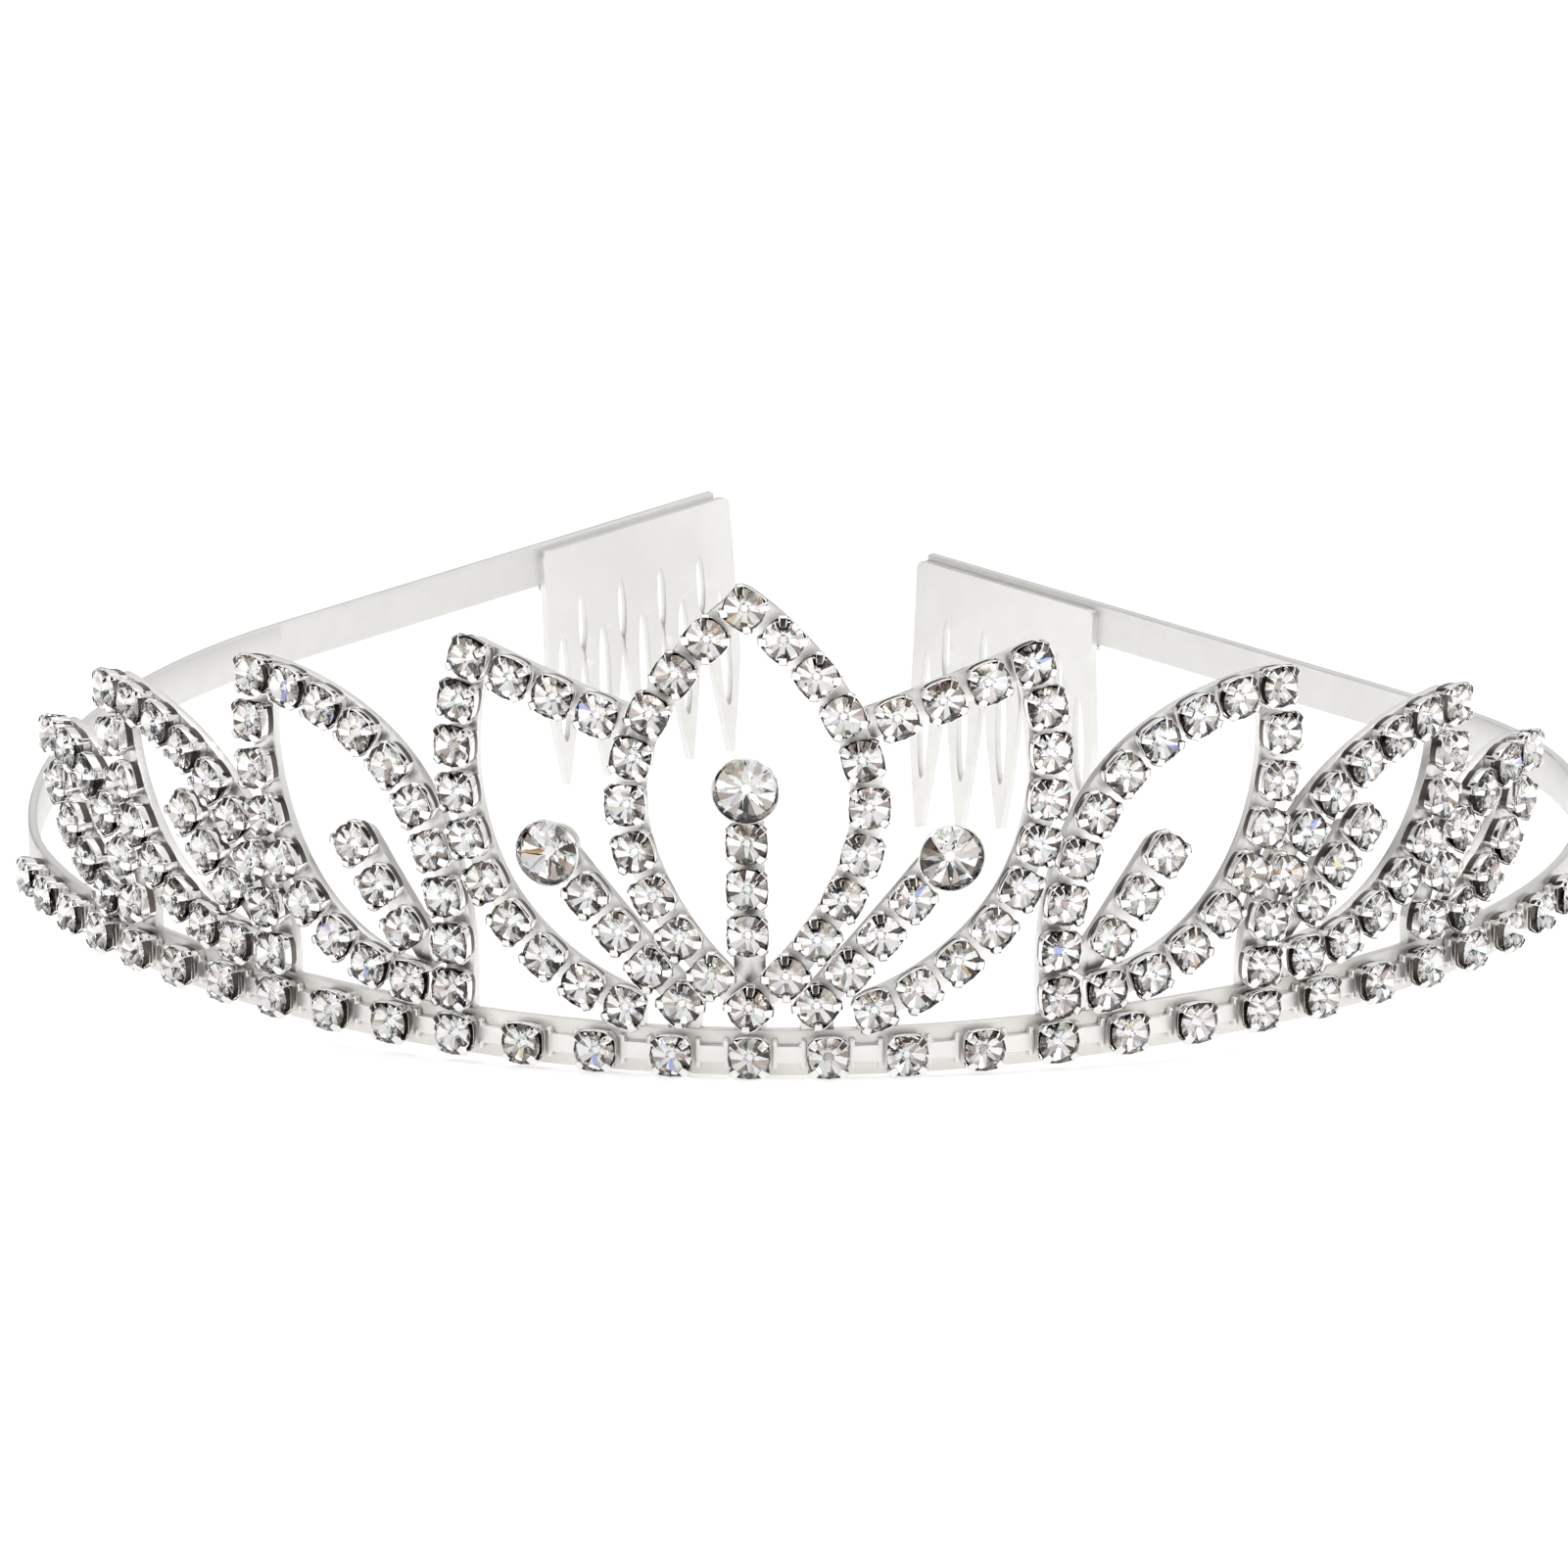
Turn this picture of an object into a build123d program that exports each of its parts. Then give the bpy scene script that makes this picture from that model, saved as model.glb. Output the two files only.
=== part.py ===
"""Bridal tiara: a bent metal headband with two hair combs behind and rhinestone leaf petals in front.

Everything is drawn in the hoop's own frame first: X to the wearer's left, Y from the front to the back,
Z square to the hoop. The origin of that frame is the middle of the band at the front, on its lower edge.
At the end the finished pieces are tipped together so that the tiara stands on the front of its lower
rim and on its right comb, with Z = 0 as the table.

A place on the decorated front is (u, v): u runs along the band from the front centre, positive to +X,
and v runs up from the band's lower edge.
"""

from build123d import *
import os
from math import atan2, cos, degrees, sin

# ---- driving dimensions, mm ------------------------------------------------------------------------
BAND_WIDTH = 4.0
BAND_THICKNESS = 0.8
BAND_HALF_LENGTH = {1: 202.0, -1: 204.0}              # the hoop is a little uneven, as bent by hand
PLAN_ARCS = {                                         # radius and length, from the front centre back
    1: [(55.1, 21.1), (83.0, 25.0), (71.3, 60.0), (32.1, 29.7)],
    -1: [(55.1, 21.1), (83.0, 68.3), (53.2, 62.4)],
}
ARM_RISE_FROM = 60.0                                  # the arms climb behind this Y
ARM_SLOPE = {1: 0.09, -1: 0.13}
ARM_BLEND_RADIUS = 115.0
PROFILE_SPAN = (-5.0, 160.0)                          # Y range of the side profile, past both ends
PROFILE_REACH = 90.0                                  # more than half the hoop's width
STANCE_TILT = 6.87                                    # degrees, the back of the hoop raised

STRIP_WIDTH = 2.6                                     # backing strip soldered behind each cup chain
STRIP_BLANK_DEPTH = 15.0                              # how far a flat outline is cast each way onto the wall
FOOT_INTO_BAND = 1.0                                  # a foot is drawn past the band's edge and trimmed there
WALL_HEIGHT = 46.0                                    # taller than the centre petal
FACE = BAND_THICKNESS / 2                             # outer face of the band and of the strips

CUP_SIDE = 3.25
CUP_DEPTH = 1.9
CUP_FLOOR = 0.7
CUP_CORNER = 0.25
PRONG_SIDE = 0.5
PRONG_CORNER = 0.22
PRONG_HEIGHT = 0.5
STONE_RADIUS = 1.42
STONE_CLEARANCE = 0.04
STONE_CROWN = 0.6
STONE_SIDES = 12
CULET_SHARE = 0.25                                    # of the stone's radius
TABLE_SHARE = 0.58

LARGE_CUP_RADIUS = 2.85
LARGE_CUP_DEPTH = 2.5
LARGE_STONE_RADIUS = 2.62
LARGE_STONE_CROWN = 0.9
LARGE_GIRDLE_DROP = 0.1                               # the girdle sits just inside the setting's rim
LARGE_STONE_SIDES = 16
LARGE_PAD_RADIUS = 1.8

BASE_PITCH = 6.28
BASE_EACH_SIDE = 14
LINK_LENGTH = 2.85
LINK_HEIGHT = 2.6
LINK_WEB = 1.5
LINK_FLANGE = 0.5
LINK_THICKNESS = 0.6

COMB_THICKNESS = 0.8
COMB_TEETH = 5
COMB_PITCH = 4.85
COMB_EDGE = 1.83                                      # from the end teeth's axes to the comb's sides
COMB_CORNER = 0.8
COMB_TOP_GAP = 0.6                                    # below the band's top edge
COMB_SPINE_DEPTH = 5.6
COMB_SLOT_FROM = 3.7                                  # below the spine
COMB_SLOT_SHARE = 0.77                                # of the tooth's length, where its slot ends
COMB_SLOT_WIDTH = 1.4
COMB_GAP_HEAD = (6.0, 1.0)                            # length and width of the rounded head of each gap
COMB_GAP_SHAPE = [                                    # share of the tooth's length, half the gap's width
    (0.2, 0.16),
    (0.33, 0.2),
    (0.5, 0.58),
    (0.76, 1.42),
    (1.06, 2.56),
]
COMB_LAST_TOOTH = {1: 1.2, -1: 0.6}                   # from the band's end to the nearest tooth's axis
COMB_TOOTH_LENGTH = {1: 21.8, -1: 20.7}               # of that tooth, and how much shorter each next one is
COMB_TOOTH_STEP = {1: 1.2, -1: 0.5}
COMB_LEAN = {1: 1.0, -1: -1.0}                        # degrees that its tip leans towards the band's end
COMB_FAN = {1: 1.4, -1: 0.7}                          # degrees less for each next tooth
SOLDER_LENGTH = 3.6
SOLDER_SIDE = 0.6
SOLDER_DROP = 0.1                                     # below the band's lower edge

# ---- the rhinestone pattern, one side of it: (u, v) points of each chain and its number of cups -----
CENTRE_PETAL = ([(0, 39.9), (5.8, 34.0), (9.7, 23.5), (6.9, 14.2), (0, 6.2)], 11)
PETALS = {
    1: {
        "top": ([(23.1, 34.3), (12.0, 30.5)], 4),
        "out": ([(23.1, 34.3), (24.6, 25.0), (21.6, 14.8), (16.4, 9.3), (10.0, 5.9)], 10),
    },
    2: {
        "top": ([(45.6, 29.6), (37.8, 28.2), (30.9, 24.0), (26.6, 16.5), (25.3, 5.8)], 10),
        "out": ([(45.6, 29.6), (45.4, 20.5), (41.6, 12.6), (35.5, 7.6), (29.4, 5.9)], 9),
    },
    3: {
        "top": ([(66.4, 24.2), (58.3, 22.8), (51.0, 18.9), (45.9, 12.6), (44.0, 5.8)], 9),
        "out": ([(66.4, 24.2), (64.4, 16.0), (58.6, 9.6), (48.5, 5.9)], 8),
    },
    4: {
        "top": ([(78.6, 17.4), (71.0, 15.8), (65.8, 11.4), (63.1, 6.1)], 6),
        "out": ([(78.6, 17.4), (77.3, 13.3), (73.6, 9.5), (67.6, 6.0)], 5),
    },
}
SPRIGS = {2: ([(34.8, 16.9), (29.9, 10.3)], 3), 3: ([(54.9, 15.9), (49.2, 10.4)], 3)}
SPRIG_REACH = 4.0
SIDE_STEM = ([(13.1, 15.2), (5.4, 6.4)], 4)
SIDE_LARGE_STONE = (16.1, 18.7)
CENTRE_STEM = ([(0, 20.2), (0, 12.4)], 3)
CENTRE_LARGE_STONE = (0, 24.8)
PETAL_1_INNER_END = (8.4, 29.3)
STEM_FOOT_RISE = 0.5                                  # the centre stem's foot above the petal's lowest cup

SIDES = {"left": -1, "right": 1}
pieces = {}


# ---- the band's mid-line ---------------------------------------------------------------------------
def station(u):
    """Point and heading of the band's mid-line, u mm along it from the front centre."""
    side = 1 if u >= 0 else -1
    left = abs(u)
    x, y, turn = 0.0, 0.0, 0.0
    for radius, length in PLAN_ARCS[side]:
        swing = min(left, length) / radius
        x += radius * (sin(turn + swing) - sin(turn))
        y += radius * (cos(turn) - cos(turn + swing))
        turn += swing
        left -= min(left, length)
    return Vector(side * (x + left * cos(turn)), y + left * sin(turn), 0), side * turn


def wall_plane(u, v=0.0):
    """Plane touching the band's mid-surface at (u, v): x along the band, y up, z outward."""
    point, heading = station(u)
    return Plane(
        origin=point + Vector(0, 0, v),
        x_dir=(cos(heading), sin(heading), 0),
        z_dir=(sin(heading), -cos(heading), 0),
    )


def on_sketch(plane, u, v):
    """Where (u, v) falls on the sketch plane of a petal."""
    spot = plane.to_local_coords(station(u)[0] + Vector(0, 0, v))
    return (spot.X, spot.Y)


def mirrored(points, side):
    return [(side * u, v) for u, v in points]


def chain_curve(points):
    return Line(*points) if len(points) == 2 else Spline(*points)


def cup_places(chain, side, skip_first=False, skip_last=False):
    """Locations of a chain's cups, evenly spaced along it."""
    points, count = chain
    curve = chain_curve(mirrored(points, side))
    places = []
    for i in range(int(skip_first), count - int(skip_last)):
        along = curve.length * i / (count - 1)
        spot = curve.position_at(along, PositionMode.LENGTH)
        tangent = curve.tangent_at(along, PositionMode.LENGTH)
        turn = degrees(atan2(tangent.Y, tangent.X))
        places.append(wall_plane(spot.X, spot.Y).location * Rot(Z=turn))
    return places


# ---- headband --------------------------------------------------------------------------------------
def half_plan(side, whole):
    """Draws one half of the mid-line in the current BuildLine, whole or only its decorated arcs."""
    end = Vector(0, 0, 0)
    heading = Vector(side, 0, 0)
    drawn = 0.0
    for radius, length in PLAN_ARCS[side] if whole else PLAN_ARCS[side][:-1]:
        arc = JernArc(end, heading, radius, side * degrees(length / radius))
        end, heading = arc @ 1, arc % 1
        drawn += length
    if whole:
        Line(end, end + heading * (BAND_HALF_LENGTH[side] - drawn))


with BuildPart() as side_profiles:
    for side in SIDES.values():
        with BuildSketch(Plane.YZ):
            with BuildLine():
                FilletPolyline(
                    (PROFILE_SPAN[0], BAND_WIDTH / 2),
                    (ARM_RISE_FROM, BAND_WIDTH / 2),
                    (PROFILE_SPAN[1], BAND_WIDTH / 2 + ARM_SLOPE[side] * (PROFILE_SPAN[1] - ARM_RISE_FROM)),
                    radius=ARM_BLEND_RADIUS,
                )
            trace(line_width=BAND_WIDTH)
        extrude(amount=side * PROFILE_REACH)

with BuildPart() as headband:
    with BuildSketch():
        for side in SIDES.values():
            with BuildLine():
                half_plan(side, whole=True)
            trace(line_width=BAND_THICKNESS)
    extrude(amount=WALL_HEIGHT / 2, both=True)
    add(side_profiles.part, mode=Mode.INTERSECT)
pieces["headband"] = headband.part

# The layer that every backing strip is cut from: it stands on the band's top edge.
with BuildPart() as wall:
    with BuildSketch(Plane.XY.offset(BAND_WIDTH)):
        for side in SIDES.values():
            with BuildLine():
                half_plan(side, whole=False)
            trace(line_width=BAND_THICKNESS)
    extrude(amount=WALL_HEIGHT)


# ---- hair combs ------------------------------------------------------------------------------------
def comb_plane(side):
    """On the band's inner face at its end: z outward, y up, origin on the top edge."""
    end, heading = station(side * BAND_HALF_LENGTH[side])
    outward = Vector(sin(heading), -cos(heading), 0)
    rise = ARM_SLOPE[side] * sin(abs(heading))
    along = Vector(cos(heading), sin(heading), side * rise)
    top = BAND_WIDTH + ARM_SLOPE[side] * (end.Y - ARM_RISE_FROM)
    return Plane(origin=end - outward * FACE + Vector(0, 0, top), x_dir=along, z_dir=outward)


def comb_gap(length):
    """The opening between two teeth, along +X from the spine: round head, narrow neck, then wide."""
    head_length, head_width = COMB_GAP_HEAD
    with BuildSketch() as gap:
        with BuildLine():
            flank = Spline(*[(share * length, half_width) for share, half_width in COMB_GAP_SHAPE])
            mirror(about=Plane.XZ)
            for end in (flank @ 0, flank @ 1):
                Line((end.X, end.Y), (end.X, -end.Y))
        make_face()
        with Locations((head_length / 2, 0)):
            Ellipse(head_length / 2, head_width / 2)
    return gap.sketch


def tooth_line(side, order):
    """Location of a tooth's root, +X along the tooth, and the tooth's length. Half orders are gaps."""
    root = (-side * (COMB_LAST_TOOTH[side] + COMB_PITCH * order), -COMB_SPINE_DEPTH)
    lean = COMB_LEAN[side] - COMB_FAN[side] * order
    length = COMB_TOOTH_LENGTH[side] - COMB_TOOTH_STEP[side] * order
    return Location(root, -90 + side * lean), length


for name, side in SIDES.items():
    with BuildPart() as comb:
        with BuildSketch(comb_plane(side)) as outline:
            with BuildLine():
                corners = []
                for order in (-COMB_EDGE / COMB_PITCH, COMB_TEETH - 1 + COMB_EDGE / COMB_PITCH):
                    line, length = tooth_line(side, order)
                    tip = (line * Pos(length)).position
                    corners.append([(line.position.X, -COMB_TOP_GAP), line.position, tip])
                near, far = corners
                Polyline(*near, *reversed(far), close=True)
            make_face()
            fillet(outline.vertices().group_by(Axis.Z)[-1], radius=COMB_CORNER)
            for order in range(COMB_TEETH + 1):
                line, length = tooth_line(side, order - 0.5)
                with Locations(line):
                    add(comb_gap(length), mode=Mode.SUBTRACT)
            for order in range(COMB_TEETH):
                line, length = tooth_line(side, order)
                slot_to = length * COMB_SLOT_SHARE
                with Locations(line * Pos((COMB_SLOT_FROM + slot_to) / 2)):
                    Ellipse((slot_to - COMB_SLOT_FROM) / 2, COMB_SLOT_WIDTH / 2, mode=Mode.SUBTRACT)
        extrude(amount=-COMB_THICKNESS)
    pieces[f"comb_{name}"] = comb.part

# ---- one small cup and its stone, z outward from the band's mid-surface ------------------------------
with BuildPart() as cup:
    with BuildSketch(Plane.XY.offset(FACE)):
        RectangleRounded(CUP_SIDE, CUP_SIDE, CUP_CORNER)
    extrude(amount=CUP_DEPTH)
    with BuildSketch(Plane.XY.offset(FACE + CUP_FLOOR)):
        Circle(STONE_RADIUS + STONE_CLEARANCE)
    extrude(amount=CUP_DEPTH, mode=Mode.SUBTRACT)
    with BuildSketch(Plane.XY.offset(FACE + CUP_DEPTH)):
        with GridLocations(CUP_SIDE - PRONG_SIDE, CUP_SIDE - PRONG_SIDE, 2, 2):
            RectangleRounded(PRONG_SIDE, PRONG_SIDE, PRONG_CORNER)
    extrude(amount=PRONG_HEIGHT)


def faceted_stone(radius, sides, floor, girdle, table):
    """A cut stone standing on the cup's floor on its small culet."""
    with BuildPart() as stone:
        for height, share in ((floor, CULET_SHARE), (girdle, 1.0), (table, TABLE_SHARE)):
            with BuildSketch(Plane.XY.offset(height)):
                RegularPolygon(radius=radius * share, side_count=sides)
        loft(ruled=True)
    return stone.part


stone = faceted_stone(
    STONE_RADIUS, STONE_SIDES, FACE + CUP_FLOOR, FACE + CUP_DEPTH, FACE + CUP_DEPTH + STONE_CROWN
)

with BuildPart() as large_cup:
    with BuildSketch(Plane.XY.offset(FACE)):
        Circle(LARGE_CUP_RADIUS)
    extrude(amount=LARGE_CUP_DEPTH)
    with BuildSketch(Plane.XY.offset(FACE + CUP_FLOOR)):
        Circle(LARGE_STONE_RADIUS + STONE_CLEARANCE)
    extrude(amount=LARGE_CUP_DEPTH, mode=Mode.SUBTRACT)

large_stone = faceted_stone(
    LARGE_STONE_RADIUS,
    LARGE_STONE_SIDES,
    FACE + CUP_FLOOR,
    FACE + LARGE_CUP_DEPTH - LARGE_GIRDLE_DROP,
    FACE + LARGE_CUP_DEPTH - LARGE_GIRDLE_DROP + LARGE_STONE_CROWN,
)


def set_in_place(source, places):
    """The same piece at every place, as a group of separate solids."""
    with BuildPart() as group:
        with Locations(*places):
            add(source)
    return group.part


def add_chain(name, places):
    pieces[f"{name}_cups"] = set_in_place(cup.part, places)
    pieces[f"{name}_stones"] = set_in_place(stone, places)


# ---- backing strips ----------------------------------------------------------------------------------
def backing_strip(middle, paths, feet=(), pads=(), against=()):
    """Flat ribbon bent to the wall: paths are (u, v) points, feet stand on the band's top edge."""
    plane = wall_plane(middle)
    with BuildPart() as strip:
        with BuildSketch(plane):
            for path in paths:
                with BuildLine():
                    chain_curve([on_sketch(plane, u, v) for u, v in path])
                trace(line_width=STRIP_WIDTH)
            for u, v in feet:
                with Locations(on_sketch(plane, u, v)):
                    Circle(STRIP_WIDTH / 2)
                    Rectangle(STRIP_WIDTH, v - BAND_WIDTH + FOOT_INTO_BAND, align=(Align.CENTER, Align.MAX))
            for (u, v), radius in pads:
                with Locations(on_sketch(plane, u, v)):
                    Circle(radius)
        extrude(amount=STRIP_BLANK_DEPTH, both=True)
        add(wall.part, mode=Mode.INTERSECT)
        for neighbour in against:
            add(neighbour, mode=Mode.SUBTRACT)
    return strip.part


# ---- centre petal, its stem and the two side stems ---------------------------------------------------
right_half, _ = CENTRE_PETAL
left_half = mirrored(right_half, -1)
centre_frame = backing_strip(
    0,
    [right_half, left_half],
    feet=[right_half[-1]],
    pads=[(right_half[0], STRIP_WIDTH / 2)],
)
pieces["centre_petal_frame"] = centre_frame
add_chain(
    "centre_petal",
    cup_places(CENTRE_PETAL, 1) + cup_places(CENTRE_PETAL, -1, skip_first=True, skip_last=True),
)

stem_foot = (0, right_half[-1][1] + STEM_FOOT_RISE)
pieces["centre_stem_strip"] = backing_strip(
    0,
    [[CENTRE_LARGE_STONE, stem_foot]],
    pads=[(CENTRE_LARGE_STONE, LARGE_PAD_RADIUS)],
    against=[centre_frame],
)
add_chain("centre_stem", cup_places(CENTRE_STEM, 1))
pieces["centre_large_setting"] = set_in_place(large_cup.part, [wall_plane(*CENTRE_LARGE_STONE).location])
pieces["centre_large_stone"] = set_in_place(large_stone, [wall_plane(*CENTRE_LARGE_STONE).location])

for name, side in SIDES.items():
    large_spot, foot = mirrored([SIDE_LARGE_STONE, SIDE_STEM[0][-1]], side)
    pieces[f"side_stem_{name}_strip"] = backing_strip(
        large_spot[0],
        [[large_spot, foot]],
        feet=[foot],
        pads=[(large_spot, LARGE_PAD_RADIUS)],
        against=[centre_frame],
    )
    add_chain(f"side_stem_{name}", cup_places(SIDE_STEM, side))
    pieces[f"large_setting_{name}"] = set_in_place(large_cup.part, [wall_plane(*large_spot).location])
    pieces[f"large_stone_{name}"] = set_in_place(large_stone, [wall_plane(*large_spot).location])

# ---- the four petals of each side --------------------------------------------------------------------
for name, side in SIDES.items():
    petal_frames = {}
    for number, chains in PETALS.items():
        top = mirrored(chains["top"][0], side)
        out = mirrored(chains["out"][0], side)
        feet = [out[-1]]
        if number == 1:
            top[-1] = (side * PETAL_1_INNER_END[0], PETAL_1_INNER_END[1])
        else:
            feet.append(top[-1])
        frame = backing_strip(
            (top[0][0] + out[-1][0]) / 2,
            [top, out],
            feet=feet,
            pads=[(top[0], STRIP_WIDTH / 2)],
            against=[centre_frame] if number == 1 else [petal_frames[number - 1]],
        )
        petal_frames[number] = frame
        pieces[f"petal_{number}_{name}_frame"] = frame
        add_chain(
            f"petal_{number}_{name}",
            cup_places(chains["top"], side) + cup_places(chains["out"], side, skip_first=True),
        )
    with BuildPart() as sprig_strips:
        for number, (points, _) in SPRIGS.items():
            (tip_u, tip_v), (end_u, end_v) = mirrored(points, side)
            length = Vector(end_u - tip_u, end_v - tip_v).length
            reach = 1 + SPRIG_REACH / length
            foot = (tip_u + (end_u - tip_u) * reach, tip_v + (end_v - tip_v) * reach)
            tip = (tip_u, tip_v)
            add(
                backing_strip(
                    tip_u, [[tip, foot]], pads=[(tip, STRIP_WIDTH / 2)], against=[petal_frames[number]]
                )
            )
    pieces[f"sprigs_{name}_strips"] = sprig_strips.part
    add_chain(f"sprigs_{name}", [place for chain in SPRIGS.values() for place in cup_places(chain, side)])

# ---- the row of cups on the band, and the links between them -----------------------------------------
base_row = [
    wall_plane(BASE_PITCH * i, BAND_WIDTH / 2).location
    for i in range(-BASE_EACH_SIDE, BASE_EACH_SIDE + 1)
]
add_chain("base_row", base_row)

with BuildPart() as link:
    with BuildSketch(Plane.XY.offset(FACE)):
        Rectangle(LINK_LENGTH, LINK_WEB)
        with GridLocations(LINK_LENGTH - LINK_FLANGE, 0, 2, 1):
            Rectangle(LINK_FLANGE, LINK_HEIGHT)
    extrude(amount=LINK_THICKNESS)
link_places = [
    wall_plane(BASE_PITCH * (i + 0.5), BAND_WIDTH / 2).location
    for i in range(-BASE_EACH_SIDE, BASE_EACH_SIDE)
]
pieces["base_row_links"] = set_in_place(link.part, link_places)

# ---- solder beads in the corner between the band's lower edge and each comb --------------------------
with BuildPart() as solder_beads:
    for side in SIDES.values():
        with BuildSketch(comb_plane(side)):
            for axis in (COMB_LAST_TOOTH[side], COMB_LAST_TOOTH[side] + COMB_PITCH * (COMB_TEETH - 1)):
                with Locations((-side * axis, -BAND_WIDTH - SOLDER_DROP)):
                    Rectangle(SOLDER_LENGTH, SOLDER_SIDE, align=(Align.CENTER, Align.MAX))
        extrude(amount=SOLDER_SIDE)
pieces["solder_beads"] = solder_beads.part

# ---- stand it up and write it ------------------------------------------------------------------------
tilt = Rot(X=STANCE_TILT)
tipped = {name: tilt * piece for name, piece in pieces.items()}
box = Compound(list(tipped.values())).bounding_box()
shift = Pos(-(box.min.X + box.max.X) / 2, -(box.min.Y + box.max.Y) / 2, -box.min.Z)

os.makedirs("parts", exist_ok=True)
for name, piece in tipped.items():
    placed = shift * piece
    placed.label = name
    export_step(placed, f"parts/{name}.step")
print("nodes", len(tipped), "size", box.size, "shift", shift.position)
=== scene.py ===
"""Looks of the bridal tiara: cut stones in folded cups, soldered strips, a satin headband and two combs."""

import math

import bpy
import numpy as np
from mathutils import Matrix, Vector


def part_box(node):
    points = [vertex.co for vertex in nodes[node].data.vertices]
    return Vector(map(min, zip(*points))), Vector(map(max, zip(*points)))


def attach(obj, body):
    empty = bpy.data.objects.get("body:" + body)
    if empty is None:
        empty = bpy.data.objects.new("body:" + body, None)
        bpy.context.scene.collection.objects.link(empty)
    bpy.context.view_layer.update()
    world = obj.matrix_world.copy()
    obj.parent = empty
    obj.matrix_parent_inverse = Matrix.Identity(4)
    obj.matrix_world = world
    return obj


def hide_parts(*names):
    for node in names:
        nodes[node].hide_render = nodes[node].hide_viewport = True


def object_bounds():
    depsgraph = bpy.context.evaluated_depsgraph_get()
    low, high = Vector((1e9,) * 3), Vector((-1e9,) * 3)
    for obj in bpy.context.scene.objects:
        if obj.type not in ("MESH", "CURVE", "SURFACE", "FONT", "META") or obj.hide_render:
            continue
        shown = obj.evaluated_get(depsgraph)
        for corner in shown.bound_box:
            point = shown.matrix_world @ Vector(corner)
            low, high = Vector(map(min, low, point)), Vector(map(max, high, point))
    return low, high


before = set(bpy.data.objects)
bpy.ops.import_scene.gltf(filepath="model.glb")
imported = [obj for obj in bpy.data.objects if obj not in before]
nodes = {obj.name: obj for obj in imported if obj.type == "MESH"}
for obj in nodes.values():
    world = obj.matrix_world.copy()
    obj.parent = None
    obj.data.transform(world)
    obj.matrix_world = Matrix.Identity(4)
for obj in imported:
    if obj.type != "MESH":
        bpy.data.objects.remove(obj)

cad_low, cad_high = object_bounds()
CAD_MIDDLE = (cad_low + cad_high) / 2

MM = 0.001
SEED = 7
LARGE_STONE_SEED = 100          # added for the large stones, past the number of chains
SHARP_ANGLE = math.radians(32)
BEVEL_ANGLE = math.radians(35)
SAME_POINT = 2e-6               # metres: corners closer than this are one corner
LEAST_AREA = 1e-14              # square metres, twice the area: a thinner triangle has no sure normal
SAME_WAY = 0.9995               # cosine between normals that count as one direction
SQUARE_TO = 0.02                # cosine below which two directions count as square

# ---- cups and stones, mm, measured from the underside of a cup ---------------------------------------
CUP_BASE = 3.0                  # side of the cup at its floor and at its rim
CUP_TOP = 3.66
CUP_HEIGHT = 1.8
CUP_END_NOTCH = 0.7             # the walls towards the next cup are cut lower
CUP_SIDE_NOTCH = 0.1
NOTCH_FROM = 0.72               # cosine of the angle from a wall's middle where its notch begins
NOTCH_BLEND = 0.16
CUP_FLOOR = 0.5
CUP_FLOOR_EDGE = 0.1
CUP_AROUND = 48                 # points around a cup
SQUARENESS = 3.2                # 2 would be a circle, and more is squarer
SHADED_FLANK_TOP = 0.8                  # the flanks carry painted shade up to here
SHADED_END_WALL = 0.85                 # cosine of half the angle that the painted shade on an end wall takes up
SHADED_FLANK_WALL = 0.75
WALL_EDGE = 0.05
WALL_THICKNESS = 0.125
FLOOR_INSET = 0.4
STONE_RADIUS = 1.76
STONE_GIRDLE = 1.76
STONE_TABLE = 2.34
STONE_CULET = 0.95
GIRDLE_EDGE = 0.05
TABLE_SHARE = 0.54              # shares of a stone's radius
STAR_SHARE = 0.79
PAVILION_SHARE = 0.3
CULET_SHARE = 0.16
STAR_RISE = 0.58                # share of the crown's height
PAVILION_RISE = 0.42            # share of the height from the culet to the girdle
PRONG_THICKNESS = 0.13
PRONG_PATH = [(1.9, 0.9), (2.05, 1.45), (2.04, 1.8), (1.91, 2.0), (1.66, 2.13), (1.32, 2.26)]
PRONG_WIDTHS = [0.72, 0.72, 0.74, 0.74, 0.7, 0.58]
PRONG_TURNS = [math.pi / 4 + corner * math.pi / 2 for corner in range(4)]
PRONG_SECTION = [               # shares of half the width and of half the thickness
    (-1, -1),
    (-1.12, 0),
    (-1, 1),
    (-0.75, 1.35),
    (0.75, 1.35),
    (1, 1),
    (1.12, 0),
    (1, -1),
]
PRONG_SWELL = max(share for share, _ in PRONG_SECTION)
PRONG_TOP_SIDE = 3              # the side of the section that faces away from the stone
# the faces of a prong's flat end that get the painted dark reflection
PAINTED_REFLECTION_FACES = [len(PRONG_SECTION) * segment + PRONG_TOP_SIDE for segment in (3, 4)]

LARGE_BASE_RADIUS = 2.0
LARGE_RADIUS = 2.78
LARGE_STONE_RADIUS = 2.72
LARGE_GIRDLE = 2.15
LARGE_TABLE = 3.0
LARGE_CULET = 1.0
LARGE_AROUND = 64
LARGE_INSIDE = 0.7              # height of the setting's floor
LARGE_INSIDE_SHARE = 0.8        # of its base radius


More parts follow.
